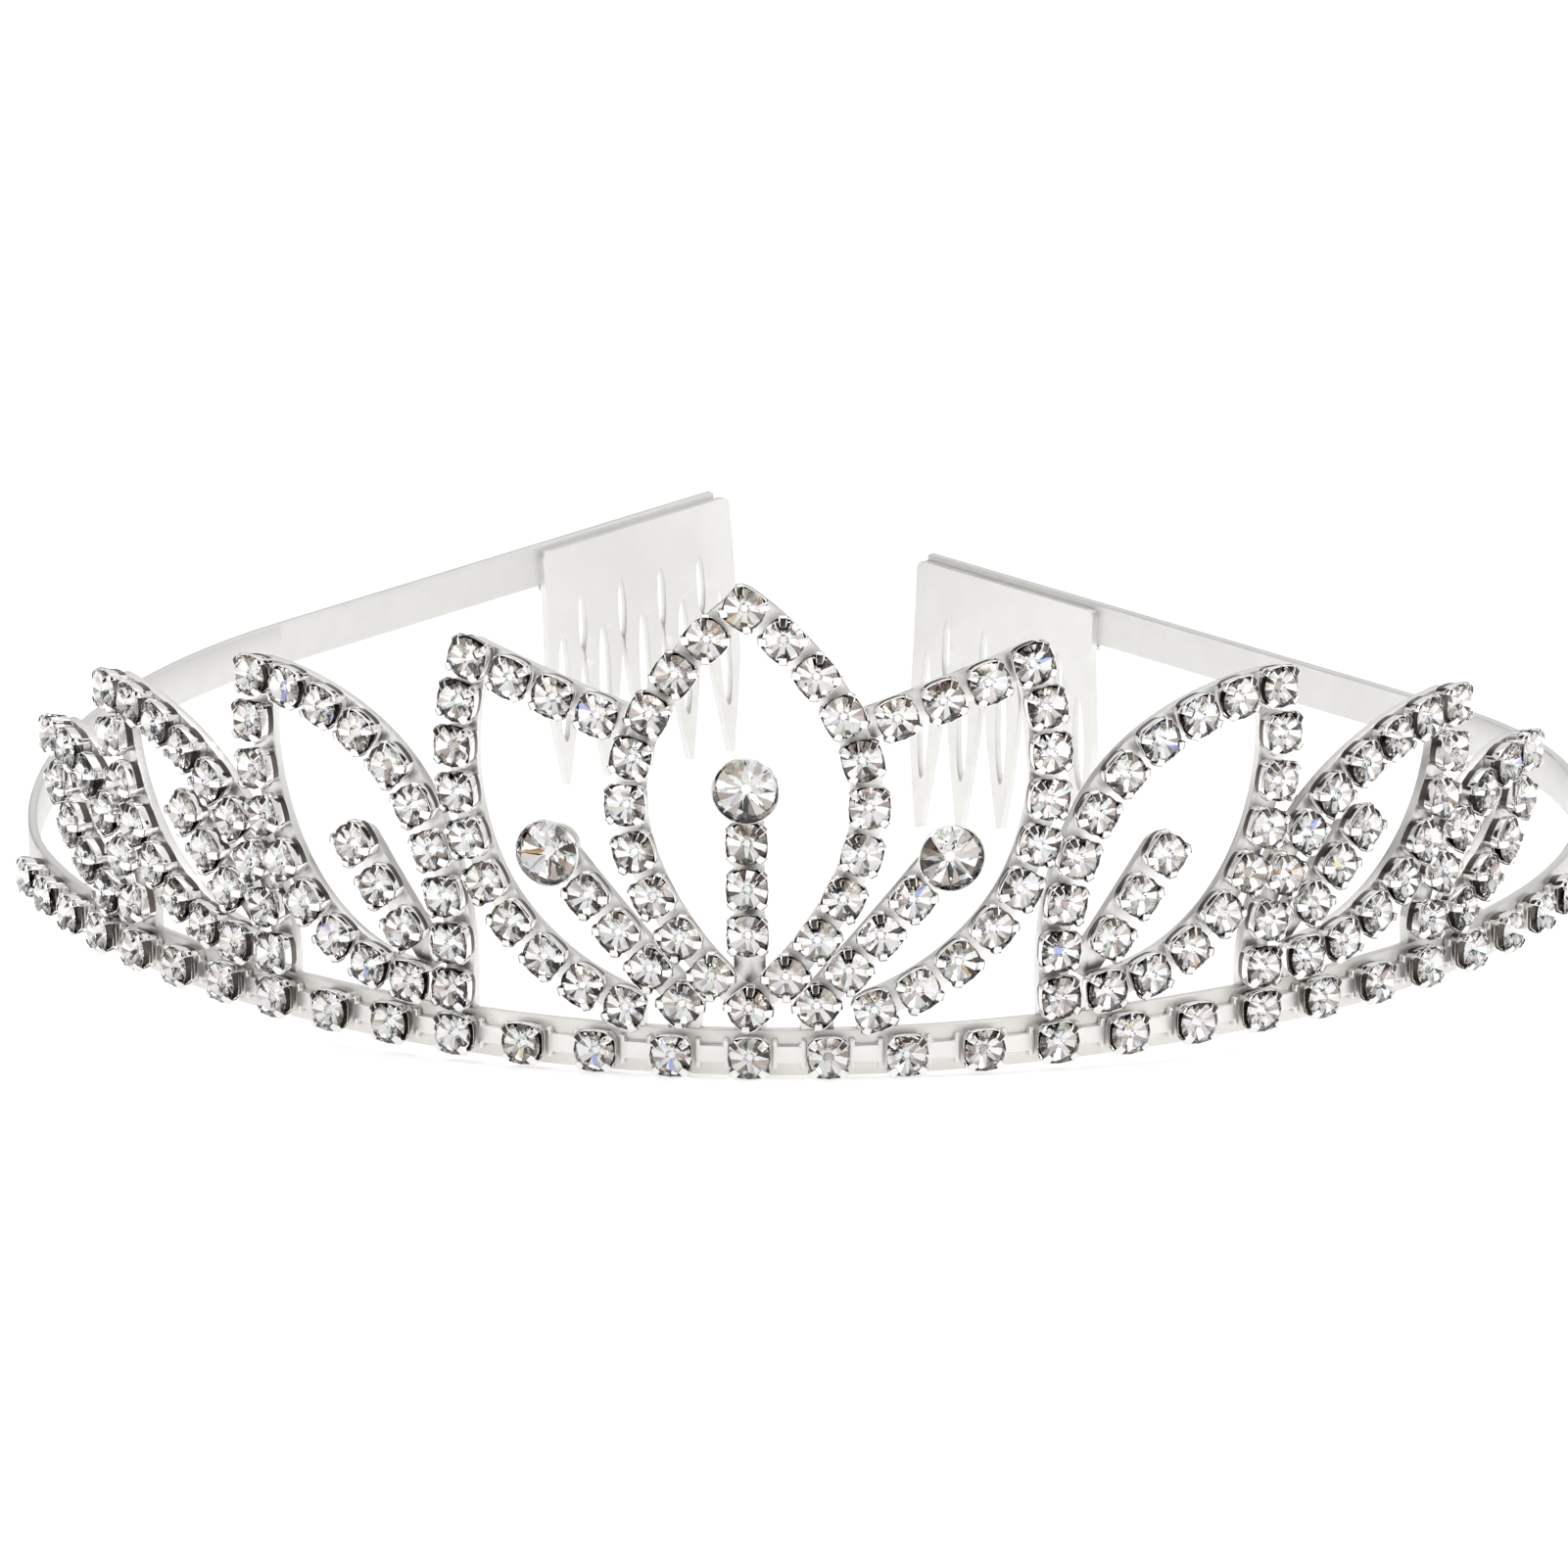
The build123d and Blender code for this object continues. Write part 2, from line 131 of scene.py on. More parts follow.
# ---- places, read from the CAD nodes -------------------------------------------------------------------
def solids_of(node):
    """The separate solids of a node: the corner points of each and its triangles' normals and areas."""
    mesh = nodes[node].data
    mesh.calc_loop_triangles()
    points = np.empty(len(mesh.vertices) * 3)
    mesh.vertices.foreach_get("co", points)
    points = points.reshape(-1, 3)
    triangles = np.empty(len(mesh.loop_triangles) * 3, dtype=np.int64)
    mesh.loop_triangles.foreach_get("vertices", triangles)
    _, index = np.unique(np.round(points / SAME_POINT), axis=0, return_inverse=True)
    corners = index.reshape(-1)[triangles].reshape(-1, 3)
    label = np.arange(corners.max() + 1)
    while True:
        lowest = label[corners].min(axis=1)
        spread = label.copy()
        for k in range(3):
            np.minimum.at(spread, corners[:, k], lowest)
        spread = spread[spread]
        if (spread == label).all():
            break
        label = spread
    owner = label[corners[:, 0]]
    triangles = triangles.reshape(-1, 3)
    for solid in np.unique(owner):
        own = points[triangles[owner == solid]]
        cross = np.cross(own[:, 1] - own[:, 0], own[:, 2] - own[:, 0])
        area = np.linalg.norm(cross, axis=1)
        keep = area > LEAST_AREA
        yield own.reshape(-1, 3), cross[keep] / area[keep, None], area[keep]


def main_axis(normals, areas, square_to=None):
    """The direction that the most surface faces, either way, among those square to another direction."""
    if square_to is not None:
        keep = abs(normals @ square_to) < SQUARE_TO
        normals, areas = normals[keep], areas[keep]
    facing = (abs(normals @ normals.T) > SAME_WAY) @ areas
    return normals[facing.argmax()]


def outward_axis(normals, areas, middle):
    """The main axis, turned away from the middle of the tiara."""
    outward = main_axis(normals, areas)
    return -outward if outward @ (middle - np.array(CAD_MIDDLE)) < 0 else outward


def places_of(node):
    """A matrix for each cup of a node: x along the chain, z outward, origin under the cup's middle."""
    found = []
    for points, normals, areas in solids_of(node):
        outward = outward_axis(normals, areas, (points.max(axis=0) + points.min(axis=0)) / 2)
        side = main_axis(normals, areas, square_to=outward)
        side = side - outward * (side @ outward)
        side /= np.linalg.norm(side)
        other = np.cross(outward, side)
        axes = np.array([side, other, outward])
        local = points @ axes.T
        low, high = local.min(axis=0), local.max(axis=0)
        origin = np.array([(low[0] + high[0]) / 2, (low[1] + high[1]) / 2, low[2]]) @ axes
        found.append([origin, side, other, outward])
    origins = np.array([place[0] for place in found])
    for place in found:
        gaps = np.linalg.norm(origins - place[0], axis=1)
        gaps[gaps < SAME_POINT] = np.inf
        ahead = origins[gaps.argmin()] - place[0]
        if len(found) > 1 and abs(ahead @ place[2]) > abs(ahead @ place[1]):
            place[1], place[2] = place[2], -place[1]
    return [np.array([p[1], p[2], p[3], p[0]]) for p in found]


def place_of_round(node):
    """The same matrix for a single round setting, with x level and y up."""
    low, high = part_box(node)
    points, normals, areas = next(solids_of(node))
    outward = outward_axis(normals, areas, np.array((low + high) / 2))
    across = np.cross((0, 0, 1.0), outward)
    across /= np.linalg.norm(across)
    upward = np.cross(outward, across)
    axes = np.array([across, upward, outward])
    local = points @ axes.T
    under = (local.min(axis=0) + local.max(axis=0)) / 2
    under[2] = local[:, 2].min()
    return np.array([across, upward, outward, under @ axes])


# ---- mesh templates: points in mm, faces, the material number of each face, and its tone or None -------
def rings_to_faces(rings, around):
    """Quads between rings of points that each start at the given index."""
    faces = []
    for first, second in zip(rings, rings[1:]):
        for k in range(around):
            nxt = (k + 1) % around
            faces.append((first + k, first + nxt, second + nxt, second + k))
    return faces


def brilliant(radius, culet, girdle, table):
    """A round cut stone: table, stars, kites, girdle facets, and the foil-backed pavilion below.

    The tones say which facets of the pavilion get mostly bright painted reflections (1) and which mostly dark
    ones (2), like a star.
    """
    def ring(count, share, height, turn):
        angles = 2 * math.pi * (np.arange(count) + turn) / count
        flat = np.stack([np.cos(angles), np.sin(angles)], axis=1) * radius * share
        return [(x, y, height) for x, y in flat]

    rise = table - girdle
    top = ring(8, TABLE_SHARE, table, 0)
    star = ring(8, STAR_SHARE, girdle + rise * STAR_RISE, 0.5)
    edge = ring(16, 1.0, girdle, 0)
    under = ring(16, 1.0, girdle - GIRDLE_EDGE, 0)
    lower = ring(8, PAVILION_SHARE, culet + (girdle - culet) * PAVILION_RISE, 0.5)
    heart = ring(8, CULET_SHARE, culet, 0)
    points = top + star + edge + under + lower + heart
    t, s, e, u, w, c = 0, 8, 16, 32, 48, 56
    faces, materials, tones = [tuple(range(8))], [0], [0]
    faces.append(tuple(c + k for k in range(7, -1, -1)))
    materials.append(1)
    tones.append(1)
    for k in range(8):
        n, p = (k + 1) % 8, (k - 1) % 8
        crown = [
            (t + n, t + k, s + k),
            (t + k, s + p, e + 2 * k, s + k),
            (s + k, e + 2 * k, e + 2 * k + 1),
            (s + k, e + 2 * k + 1, e + (2 * k + 2) % 16),
            (e + 2 * k, u + 2 * k, u + 2 * k + 1, e + 2 * k + 1),
            (e + 2 * k + 1, u + 2 * k + 1, u + (2 * k + 2) % 16, e + (2 * k + 2) % 16),
        ]
        back = [
            (w + k, u + 2 * k + 1, u + 2 * k),
            (w + k, u + (2 * k + 2) % 16, u + 2 * k + 1),
            (c + k, w + k, u + 2 * k, w + p),
            (c + n, w + k, c + k),
        ]
        faces += crown + back
        materials += [0] * 6 + [1] * 4
        tones += [0] * 6 + [2, 1, 1, 1]
    return points, faces, materials, tones


def folded_cup(reflection_prong):
    """A square cup, wider at its rim, with low end walls and four corner prongs bent over the stone.

    The flat end of one prong carries a painted dark reflection: the one that faces up once the cup is in
    place.
    """
    angles = 2 * math.pi * np.arange(CUP_AROUND) / CUP_AROUND
    cosine, sine = np.cos(angles), np.sin(angles)
    square = 1 / (abs(cosine) ** SQUARENESS + abs(sine) ** SQUARENESS) ** (1 / SQUARENESS)
    end = np.clip((abs(cosine) - NOTCH_FROM) / NOTCH_BLEND, 0, 1)
    flank = np.clip((abs(sine) - NOTCH_FROM) / NOTCH_BLEND, 0, 1)
    rim = CUP_HEIGHT - CUP_END_NOTCH * end * end * (3 - 2 * end) - CUP_SIDE_NOTCH * flank

    def ring(inset, heights):
        heights = heights + np.zeros(CUP_AROUND)
        half = (CUP_BASE + (CUP_TOP - CUP_BASE) * heights / CUP_HEIGHT) / 2
        radii = square * half - inset
        return list(zip(radii * cosine, radii * sine, heights))

    layers = [
        ring(WALL_EDGE * 2, 0.0),
        ring(0.0, WALL_EDGE * 2),
        ring(0.0, SHADED_FLANK_TOP),
        ring(0.0, rim - WALL_EDGE),
        ring(WALL_EDGE / 2, rim),
        ring(WALL_EDGE * 2, rim),
        ring(WALL_THICKNESS, rim - WALL_EDGE),
        ring(WALL_THICKNESS, CUP_FLOOR + CUP_FLOOR_EDGE),
        ring(FLOOR_INSET, CUP_FLOOR),
    ]
    points = [p for layer in layers for p in layer]
    starts = [i * CUP_AROUND for i in range(len(layers))]
    faces = rings_to_faces(starts, CUP_AROUND)
    # Painted shade: the dark plating goes on the upper part of the end walls, the lower band of the flanks,
    # and the floor inside with its rim.
    shaded_end = abs(cosine) > SHADED_END_WALL
    shaded_flank = abs(sine) > SHADED_FLANK_WALL
    lower_wall, upper_wall, floor_rim = 1, 2, 7
    materials = [
        int(
            (layer == upper_wall and shaded_end[k])
            or (layer == lower_wall and shaded_flank[k])
            or layer == floor_rim
        )
        for layer in range(len(layers) - 1)
        for k in range(CUP_AROUND)
    ]
    faces.append(tuple(range(CUP_AROUND - 1, -1, -1)))
    faces.append(tuple(range(starts[-1], starts[-1] + CUP_AROUND)))
    materials += [0, 1]
    for corner in range(4):
        tab_points, tab_faces = prong(PRONG_TURNS[corner])
        faces += [tuple(i + len(points) for i in face) for face in tab_faces]
        tab_materials = [0] * len(tab_faces)
        if corner == reflection_prong:
            for index in PAINTED_REFLECTION_FACES:
                tab_materials[index] = 1
        materials += tab_materials
        points += tab_points
    return points, faces, materials, None


def upper_prong(place):
    """The number of the prong that points up the most when the cup stands at the place: it gets the painted
    dark reflection.
    """
    return int(np.argmax([math.cos(t) * place[0][2] + math.sin(t) * place[1][2] for t in PRONG_TURNS]))


def prong(turn):
    """One prong: a tapering tab that follows PRONG_PATH outward from the cup's middle."""
    out = np.array([math.cos(turn), math.sin(turn), 0])
    across = np.array([-math.sin(turn), math.cos(turn), 0])
    up = np.array([0, 0, 1.0])
    path = np.array(PRONG_PATH)
    slope = np.gradient(path, axis=0)
    slope /= np.linalg.norm(slope, axis=1)[:, None]
    points = []
    for (r, z), (dr, dz), width in zip(path, slope, PRONG_WIDTHS):
        centre = out * r + up * z
        normal = out * dz - up * dr
        for a, b in PRONG_SECTION:
            sideways = across * width / 2 * a / PRONG_SWELL
            points.append(tuple(centre + sideways + normal * PRONG_THICKNESS / 2 * b))
    sides = len(PRONG_SECTION)
    starts = [i * sides for i in range(len(path))]
    faces = rings_to_faces(starts, sides)
    faces.append(tuple(range(sides - 1, -1, -1)))
    faces.append(tuple(range(starts[-1], starts[-1] + sides)))
    return points, faces


def round_setting():
    """A round cup that widens to a thin rolled rim around the stone."""
    profile = [
        (LARGE_BASE_RADIUS - 0.1, 0.0),
        (LARGE_BASE_RADIUS, 0.08),
        (LARGE_RADIUS - 0.08, LARGE_GIRDLE - 0.3),
        (LARGE_RADIUS, LARGE_GIRDLE - 0.12),
        (LARGE_RADIUS + 0.02, LARGE_GIRDLE),
        (LARGE_RADIUS - 0.03, LARGE_GIRDLE + 0.06),
        (LARGE_STONE_RADIUS - 0.02, LARGE_GIRDLE + 0.05),
        (LARGE_STONE_RADIUS + 0.02, LARGE_GIRDLE - 0.1),
        (LARGE_BASE_RADIUS * LARGE_INSIDE_SHARE, LARGE_INSIDE),
    ]
    angles = 2 * math.pi * np.arange(LARGE_AROUND) / LARGE_AROUND
    points = [(r * math.cos(a), r * math.sin(a), z) for r, z in profile for a in angles]
    starts = [i * LARGE_AROUND for i in range(len(profile))]
    faces = rings_to_faces(starts, LARGE_AROUND)
    # The setting's inside and its floor under the stone get the dark plating: painted shade.
    first_shaded_layer = 6
    materials = [
        int(layer >= first_shaded_layer) for layer in range(len(profile) - 1) for _ in range(LARGE_AROUND)
    ]
    faces.append(tuple(range(LARGE_AROUND - 1, -1, -1)))
    faces.append(tuple(range(starts[-1], starts[-1] + LARGE_AROUND)))
    materials += [0, 1]
    return points, faces, materials, None


# ---- materials --------------------------------------------------------------------------------------
CLOUD_SCALE = 180.0             # cells per metre
SMEAR_SCALE = 900.0
GRAIN_SCALE = 4000.0
GRAIN_DEPTH = 0.00002           # metres
FRONT_LIGHT_BLEND = (-0.055, -0.02)   # metres: wholly under the painted light in front of the first, plain behind the second


def new_material(name):
    material = bpy.data.materials.new(name)
    material.use_nodes = True
    tree = material.node_tree
    shader = tree.nodes["Principled BSDF"]
    return material, tree, shader


def noise_node(tree, scale, detail=3.0):
    """Noise in the object's own coordinates: the scale is in cells per metre."""
    where = tree.nodes.new("ShaderNodeTexCoord")
    noise = tree.nodes.new("ShaderNodeTexNoise")
    noise.inputs["Scale"].default_value = scale
    noise.inputs["Detail"].default_value = detail
    tree.links.new(where.outputs["Object"], noise.inputs["Vector"])
    return noise


def ramp_node(tree, source, stops):
    """A colour ramp through (position, colour) stops."""
    ramp = tree.nodes.new("ShaderNodeValToRGB")
    while len(ramp.color_ramp.elements) < len(stops):
        ramp.color_ramp.elements.new(0.5)
    for element, (position, colour) in zip(ramp.color_ramp.elements, stops):
        element.position = position
        element.color = (*colour, 1)
    tree.links.new(source, ramp.inputs["Fac"])
    return ramp


def range_node(tree, source, low, high):
    """Spreads the middle of a noise over the given range."""
    spread = tree.nodes.new("ShaderNodeMapRange")
    spread.inputs["From Min"].default_value = 0.3
    spread.inputs["From Max"].default_value = 0.7
    spread.inputs["To Min"].default_value = low
    spread.inputs["To Max"].default_value = high
    tree.links.new(source, spread.inputs["Value"])
    return spread


def bump_node(tree, source, shader, strength, distance):
    bump = tree.nodes.new("ShaderNodeBump")
    bump.inputs["Strength"].default_value = strength
    bump.inputs["Distance"].default_value = distance
    tree.links.new(source, bump.inputs["Height"])
    tree.links.new(bump.outputs["Normal"], shader.inputs["Normal"])


def plating(name, light, dark, rough_low, rough_high, bump):
    """Silver plating: a faint cloudy tint, uneven polish and a fine grain."""
    material, tree, shader = new_material(name)
    shader.inputs["Metallic"].default_value = 1.0
    cloud = noise_node(tree, CLOUD_SCALE, 4.0)
    tint = ramp_node(tree, cloud.outputs["Fac"], [(0.3, dark), (0.65, light)])
    tree.links.new(tint.outputs["Color"], shader.inputs["Base Color"])
    smear = noise_node(tree, SMEAR_SCALE, 5.0)
    rough = range_node(tree, smear.outputs["Fac"], rough_low, rough_high)
    tree.links.new(rough.outputs["Result"], shader.inputs["Roughness"])
    grain = noise_node(tree, GRAIN_SCALE, 2.0)
    bump_node(tree, grain.outputs["Fac"], shader, bump, GRAIN_DEPTH)
    return material


def paint_front_light(material, light, dark):
    """Mixes in a lighter and warmer plating towards the front of the tiara: painted light on the front of the
    band.
    """
    tree = material.node_tree
    shader = tree.nodes["Principled BSDF"]
    plain = shader.inputs["Base Color"].links[0].from_socket
    cloud = noise_node(tree, CLOUD_SCALE, 4.0)
    tint = ramp_node(tree, cloud.outputs["Fac"], [(0.3, dark), (0.65, light)])
    where = tree.nodes.new("ShaderNodeTexCoord")
    parts = tree.nodes.new("ShaderNodeSeparateXYZ")
    tree.links.new(where.outputs["Object"], parts.inputs["Vector"])
    front = tree.nodes.new("ShaderNodeMapRange")
    front.inputs["From Min"].default_value = FRONT_LIGHT_BLEND[0]
    front.inputs["From Max"].default_value = FRONT_LIGHT_BLEND[1]
    front.inputs["To Min"].default_value = 1.0
    front.inputs["To Max"].default_value = 0.0
    tree.links.new(parts.outputs["Y"], front.inputs["Value"])
    mix = tree.nodes.new("ShaderNodeMix")
    mix.data_type = "RGBA"
    tree.links.new(front.outputs["Result"], mix.inputs["Factor"])
    tree.links.new(plain, mix.inputs["A"])
    tree.links.new(tint.outputs["Color"], mix.inputs["B"])
    tree.links.new(mix.outputs["Result"], shader.inputs["Base Color"])


def crystal():
    """Clear cut glass."""
    material, tree, shader = new_material("crystal_glass")
    shader.inputs["IOR"].default_value = 1.25
    shader.inputs["Coat Weight"].default_value = 0.6
    shader.inputs["Coat Roughness"].default_value = 0.01
    shader.inputs["Transmission Weight"].default_value = 1.0
    cloud = noise_node(tree, 600.0)
    tint = ramp_node(tree, cloud.outputs["Fac"], [(0.3, (0.95, 0.96, 0.98)), (0.7, (1.0, 1.0, 1.0))])
    tree.links.new(tint.outputs["Color"], shader.inputs["Base Color"])
    rough = range_node(tree, cloud.outputs["Fac"], 0.0, 0.02)
    tree.links.new(rough.outputs["Result"], shader.inputs["Roughness"])
    return material


def foil():
    """The mirror foil behind the pavilion, with the painted reflection that each facet gets as its colour."""
    material, tree, shader = new_material("crystal_foil")
    shader.inputs["Metallic"].default_value = 1.0
    tone = tree.nodes.new("ShaderNodeAttribute")
    tone.attribute_name = "facet_painted_reflection"
    cloud = noise_node(tree, 1500.0)
    mix = tree.nodes.new("ShaderNodeMix")
    mix.data_type = "RGBA"
    mix.blend_type = "MULTIPLY"
    mix.inputs["Factor"].default_value = 0.25
    tree.links.new(tone.outputs["Color"], mix.inputs["A"])
    tree.links.new(cloud.outputs["Color"], mix.inputs["B"])
    tree.links.new(mix.outputs["Result"], shader.inputs["Base Color"])
    rough = range_node(tree, cloud.outputs["Fac"], 0.03, 0.1)
    tree.links.new(rough.outputs["Result"], shader.inputs["Roughness"])
    return material


satin = plating("satin_plating", (0.755, 0.75, 0.735), (0.725, 0.72, 0.705), 0.40, 0.50, 0.2)
bright = plating("bright_plating", (0.90, 0.895, 0.885), (0.84, 0.835, 0.82), 0.06, 0.14, 0.1)
# Dark plating that stands for shade: painted shade on the cups' end walls, lower flanks and floors and inside
# the round settings, and a painted dark reflection on one prong end of each cup.
painted_shade = plating("painted_shade_plating", (0.16, 0.13, 0.115), (0.06, 0.05, 0.045), 0.2, 0.4, 0.3)
# The band's satin plating gets painted light towards the front.
paint_front_light(satin, (0.85, 0.83, 0.80), (0.80, 0.78, 0.75))
# The combs get a lighter copy of the band's satin plating: painted light.
comb_satin_painted_light = plating("comb_plating_painted_light", (0.825, 0.82, 0.80), (0.79, 0.785, 0.765), 0.40, 0.50, 0.2)
# The strips and links get a lighter copy of the satin plating: painted light where the cups shade them.
strip_satin_painted_light = plating("strip_plating_painted_light", (0.87, 0.86, 0.84), (0.83, 0.82, 0.80), 0.30, 0.42, 0.2)
solder = plating("solder_plating", (0.70, 0.69, 0.67), (0.58, 0.57, 0.55), 0.25, 0.45, 0.6)
glass = crystal()
foil_back = foil()

# Painted reflections on the foil behind the facets, as tones and their shares: for the mostly bright facets,
# then the rest. The blue and orange tones are painted glints.
BRIGHT_REFLECTION_TONES = [
    ((0.98, 0.98, 0.97), 0.80),
    ((0.86, 0.83, 0.80), 0.14),
    ((0.52, 0.46, 0.41), 0.05),
    ((0.46, 0.52, 0.95), 0.006),
    ((0.95, 0.74, 0.48), 0.004),
]
DARK_REFLECTION_TONES = [
    ((0.64, 0.58, 0.53), 0.38),
    ((0.36, 0.31, 0.275), 0.30),
    ((0.10, 0.07, 0.055), 0.12),
    ((0.95, 0.94, 0.92), 0.20),
]


# ---- pieces -----------------------------------------------------------------------------------------
def draw_facet_reflections(tones, seed):
    """A painted reflection for each facet, drawn from the palette of its tone, and white for the facets
    without one.
    """
    draw = np.random.default_rng(SEED + seed)
    kinds = np.array(tones)
    colours = np.ones((len(kinds), 4))
    for kind, palette in ((1, BRIGHT_REFLECTION_TONES), (2, DARK_REFLECTION_TONES)):
        chosen = kinds == kind
        shares = np.array([share for _, share in palette])
        picks = draw.choice(len(palette), size=chosen.sum(), p=shares / shares.sum())
        colours[chosen, :3] = np.array([colour for colour, _ in palette])[picks]
    return colours


def piece_from(name, templates, places, materials, stands_for, seed=0):
    """A template at each place, all as one mesh, which stands for the CAD nodes."""
    all_points, all_faces, all_kinds, all_tones = [], [], [], []
    start = 0
    for (points, faces, kinds, tones), place in zip(templates, places):
        all_points.append(np.array(points) * MM @ place[:3] + place[3])
        all_faces += [tuple(i + start for i in face) for face in faces]
        all_kinds += kinds
        all_tones += tones or []
        start += len(points)
    mesh = bpy.data.meshes.new(name)
    mesh.from_pydata(np.concatenate(all_points).tolist(), [], all_faces)
    for material in materials:
        mesh.materials.append(material)
    mesh.polygons.foreach_set("material_index", all_kinds)
    if all_tones:
        colours = draw_facet_reflections(all_tones, seed)
        tone = mesh.color_attributes.new("facet_painted_reflection", "FLOAT_COLOR", "CORNER")
        loops = np.repeat(colours, [len(face) for face in all_faces], axis=0)
        tone.data.foreach_set("color", loops.astype(np.float32).ravel())
    else:
        mesh.polygons.foreach_set("use_smooth", [True] * len(all_faces))
        mesh.set_sharp_from_angle(angle=SHARP_ANGLE)
    mesh.update()
    thing = bpy.data.objects.new(name, mesh)
    bpy.context.scene.collection.objects.link(thing)
    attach(thing, "root")
    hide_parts(*stands_for)


def round_edges(thing, width):
    """Softens edges without touching the mesh itself."""
    weld = thing.modifiers.new("weld", "WELD")
    weld.merge_threshold = SAME_POINT
    bevel = thing.modifiers.new("bevel", "BEVEL")
    bevel.width = width
    bevel.segments = 2
    bevel.limit_method = "ANGLE"
    bevel.angle_limit = BEVEL_ANGLE
    bevel.harden_normals = False


small_stone = brilliant(STONE_RADIUS, STONE_CULET, STONE_GIRDLE, STONE_TABLE)
large_stone = brilliant(LARGE_STONE_RADIUS, LARGE_CULET, LARGE_GIRDLE, LARGE_TABLE)
cups = [folded_cup(reflection_prong) for reflection_prong in range(4)]
setting = round_setting()

chains = sorted(name[: -len("_cups")] for name in nodes if name.endswith("_cups"))
for number, chain in enumerate(chains):
    places = places_of(f"{chain}_cups")
    piece_from(
        f"{chain}_folded_cups",
        [cups[upper_prong(place)] for place in places],
        places,
        [bright, painted_shade],
        [f"{chain}_cups"],
    )
    piece_from(
        f"{chain}_cut_stones",
        [small_stone] * len(places),
        places,
        [glass, foil_back],
        [f"{chain}_stones"],
        seed=number,
    )

large_settings = {
    "centre_large_setting": "centre_large_stone",
    "large_setting_left": "large_stone_left",
    "large_setting_right": "large_stone_right",
}
for number, (setting_node, stone_node) in enumerate(sorted(large_settings.items())):
    place = place_of_round(setting_node)
    piece_from(
        f"{setting_node}_rim", [setting], [place], [bright, painted_shade], [setting_node]
    )
    piece_from(
        f"{stone_node}_cut",
        [large_stone],
        [place],
        [glass, foil_back],
        [stone_node],
        seed=LARGE_STONE_SEED + number,
    )

# The band, the combs, the strips, the links and the solder keep their CAD shape, with rounded edges.
SOLDER_EDGE, LINK_EDGE, PLATE_EDGE, STRIP_EDGE = 0.00022, 0.00018, 0.00016, 0.00014
for name, thing in nodes.items():
    if thing.hide_render:
        continue
    if name == "solder_beads":
        finish, edge = solder, SOLDER_EDGE
    elif name == "headband":
        finish, edge = satin, PLATE_EDGE
    elif name.startswith("comb_"):
        finish, edge = comb_satin_painted_light, PLATE_EDGE
    elif name == "base_row_links":
        finish, edge = strip_satin_painted_light, LINK_EDGE
    else:
        finish, edge = strip_satin_painted_light, STRIP_EDGE
    thing.data.materials.clear()
    thing.data.materials.append(finish)
    round_edges(thing, edge)


# ---- floor, light and camera ------------------------------------------------------------------------
def floor_material():
    material, tree, shader = new_material("pale_floor")
    cloud = noise_node(tree, 3.0)
    tint = ramp_node(tree, cloud.outputs["Fac"], [(0.3, (0.90, 0.90, 0.90)), (0.7, (0.93, 0.93, 0.93))])
    tree.links.new(tint.outputs["Color"], shader.inputs["Base Color"])
    shader.inputs["Roughness"].default_value = 0.9
    shader.inputs["Specular IOR Level"].default_value = 0.1
    shader.inputs["Emission Color"].default_value = (1, 1, 1, 1)
    shader.inputs["Emission Strength"].default_value = 0.45
    return material


FLOOR_HALF = 8.0
floor_mesh = bpy.data.meshes.new("floor")
floor_mesh.from_pydata(
    [(x * FLOOR_HALF, y * FLOOR_HALF, 0) for x, y in ((-1, -1), (1, -1), (1, 1), (-1, 1))], [], [(0, 1, 2, 3)]
)
floor_mesh.materials.append(floor_material())
floor = bpy.data.objects.new("floor", floor_mesh)
bpy.context.scene.collection.objects.link(floor)


def soft_box(name, place, size, power):
    """A rectangular lamp that points at the middle of the tiara."""
    light = bpy.data.lights.new(name, "AREA")
    light.shape = "RECTANGLE"
    light.size, light.size_y = size
    light.energy = power
    lamp = bpy.data.objects.new(name, light)
    bpy.context.scene.collection.objects.link(lamp)
    lamp.location = place
    lamp.rotation_euler = (Vector(CAD_MIDDLE) - Vector(place)).to_track_quat("-Z", "Y").to_euler()


soft_box("key", (-0.7, -0.9, 1.1), (0.7, 0.7), 4)
soft_box("fill", (0.9, -0.6, 0.7), (0.5, 0.9), 2)
soft_box("top", (0.0, 0.3, 1.4), (1.2, 0.8), 1.8)


WORLD_CELLS = 3.2
WORLD_STRENGTH = 0.85
OPENING_TOWARD = (-0.05, -0.66, 0.75)   # the unlit gap, above the front
OPENING_ANGLE = math.radians(20)
OPENING_CORE = 0.8              # share of the angle that is wholly unlit
OPENING_LIGHT = 0.1


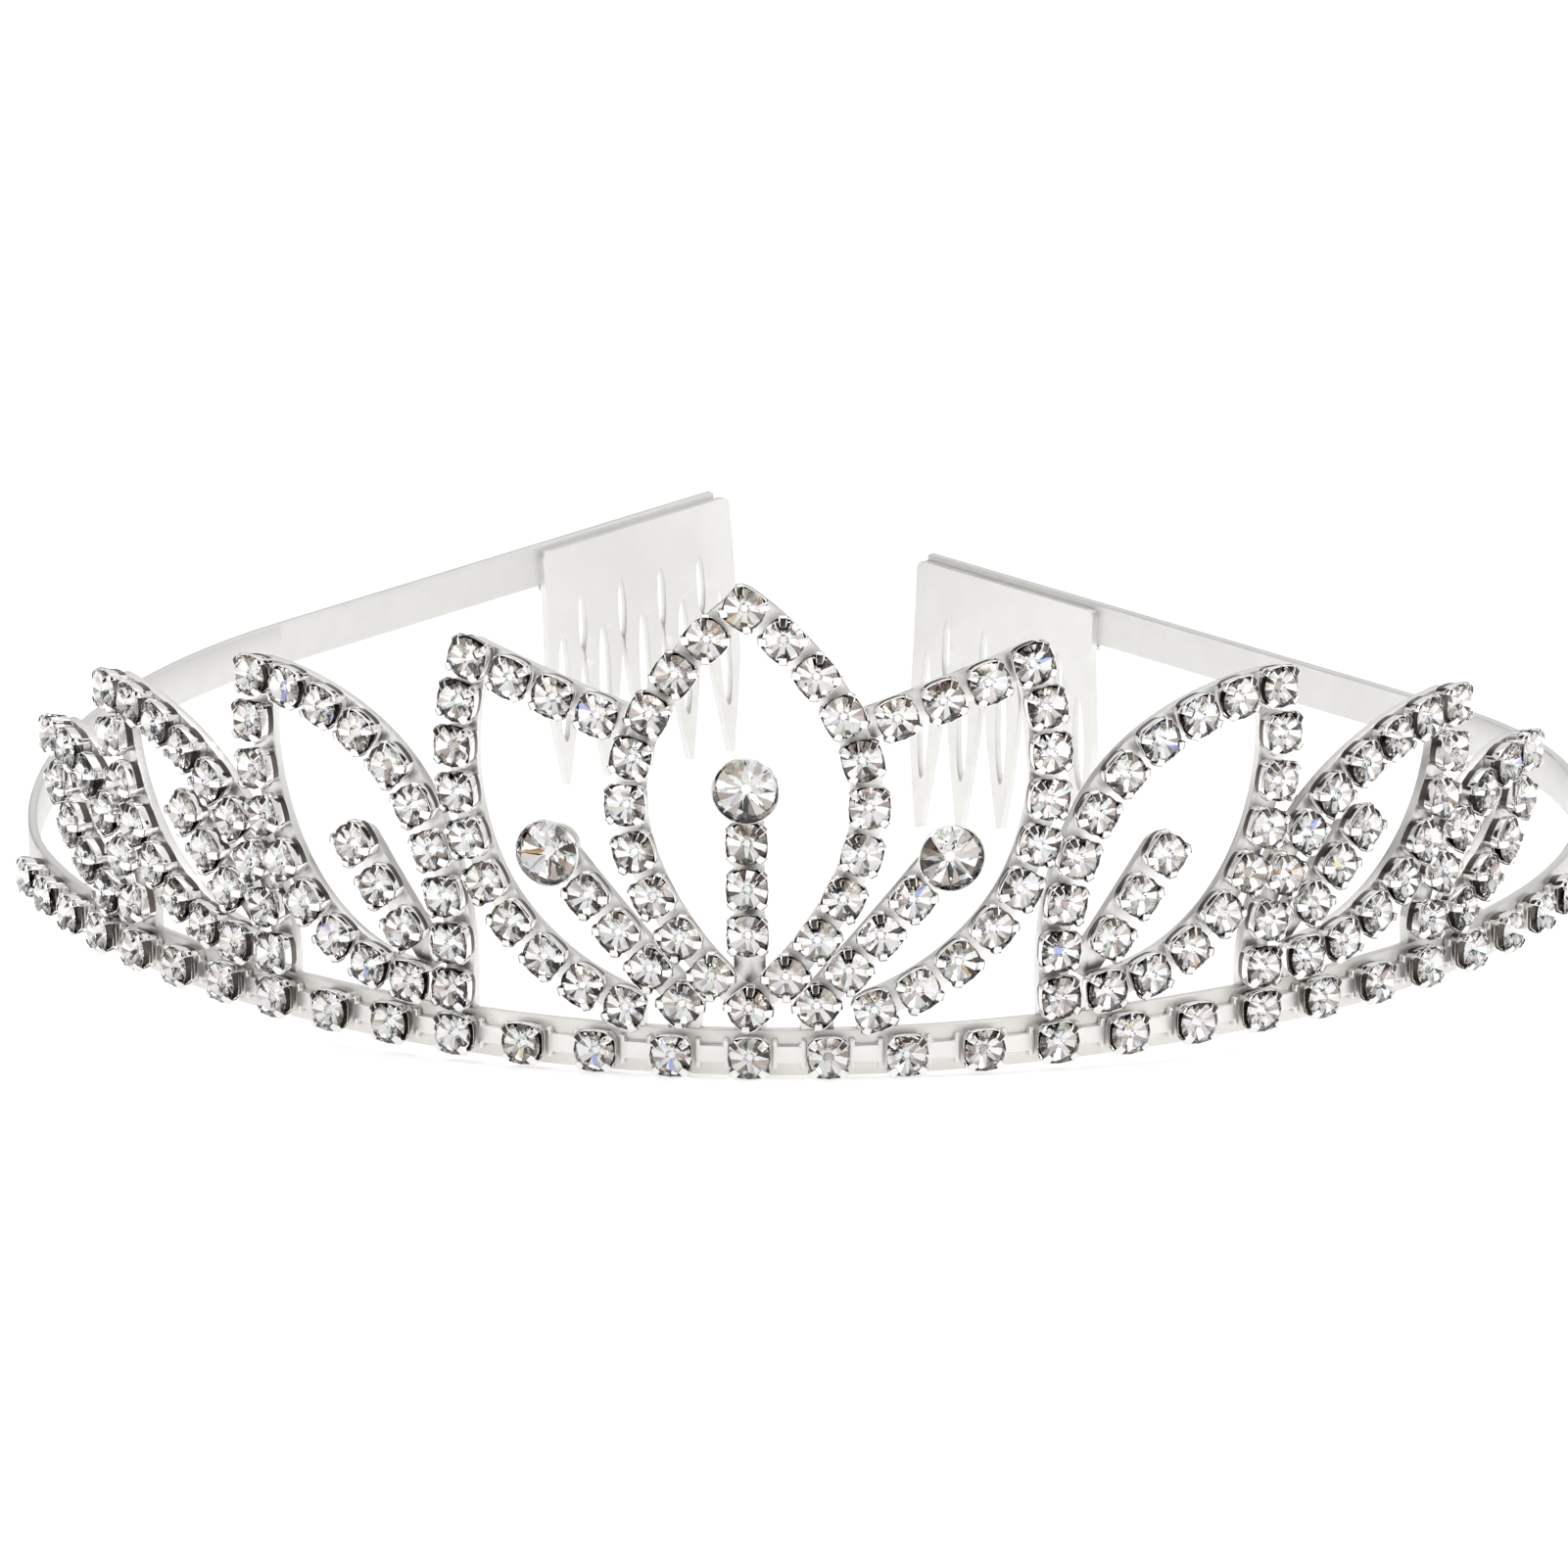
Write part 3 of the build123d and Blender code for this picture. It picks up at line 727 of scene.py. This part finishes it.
def studio_world():
    """Panels of different brightness and one unlit gap, so that facets find light and shade.

    The camera itself sees plain white.
    """
    world = bpy.data.worlds.new("studio")
    bpy.context.scene.world = world
    world.use_nodes = True
    tree = world.node_tree
    background = tree.nodes["Background"]
    where = tree.nodes.new("ShaderNodeTexCoord")
    cells = tree.nodes.new("ShaderNodeTexVoronoi")
    cells.inputs["Scale"].default_value = WORLD_CELLS
    tree.links.new(where.outputs["Generated"], cells.inputs["Vector"])
    split = tree.nodes.new("ShaderNodeSeparateColor")
    tree.links.new(cells.outputs["Color"], split.inputs["Color"])
    ramp = ramp_node(
        tree,
        split.outputs["Red"],
        [(0.0, (0.04, 0.035, 0.03)), (0.14, (0.6, 0.58, 0.56)), (0.3, (0.95,) * 3), (0.8, (1.1,) * 3)],
    )
    ramp.color_ramp.interpolation = "CONSTANT"
    toward = tree.nodes.new("ShaderNodeVectorMath")
    toward.operation = "DOT_PRODUCT"
    toward.inputs[1].default_value = OPENING_TOWARD
    tree.links.new(where.outputs["Generated"], toward.inputs[0])
    opening = tree.nodes.new("ShaderNodeMapRange")
    opening.inputs["From Min"].default_value = math.cos(OPENING_ANGLE)
    opening.inputs["From Max"].default_value = math.cos(OPENING_ANGLE * OPENING_CORE)
    opening.inputs["To Min"].default_value = 1.0
    opening.inputs["To Max"].default_value = OPENING_LIGHT
    tree.links.new(toward.outputs["Value"], opening.inputs["Value"])
    shade = tree.nodes.new("ShaderNodeVectorMath")
    shade.operation = "SCALE"
    tree.links.new(ramp.outputs["Color"], shade.inputs[0])
    tree.links.new(opening.outputs["Result"], shade.inputs["Scale"])
    path = tree.nodes.new("ShaderNodeLightPath")
    mix = tree.nodes.new("ShaderNodeMix")
    mix.data_type = "RGBA"
    mix.inputs["B"].default_value = (1.0, 1.0, 1.0, 1)
    tree.links.new(path.outputs["Is Camera Ray"], mix.inputs["Factor"])
    tree.links.new(shade.outputs["Vector"], mix.inputs["A"])
    tree.links.new(mix.outputs["Result"], background.inputs["Color"])
    background.inputs["Strength"].default_value = WORLD_STRENGTH


studio_world()

CAMERA_FROM = Vector((0.06372, -0.77986, 0.12792))
CAMERA_AT = Vector((-0.00186, -0.00099, 0.01428))
camera_data = bpy.data.cameras.new("camera")
camera_data.sensor_width = 36.0
camera_data.lens = 202.4
camera_data.clip_start, camera_data.clip_end = 0.01, 50.0
camera = bpy.data.objects.new("camera", camera_data)
bpy.context.scene.collection.objects.link(camera)
camera.location = CAMERA_FROM
camera.rotation_euler = (CAMERA_AT - CAMERA_FROM).to_track_quat("-Z", "Y").to_euler()
bpy.context.scene.camera = camera
bpy.context.scene.view_settings.view_transform = "Standard"
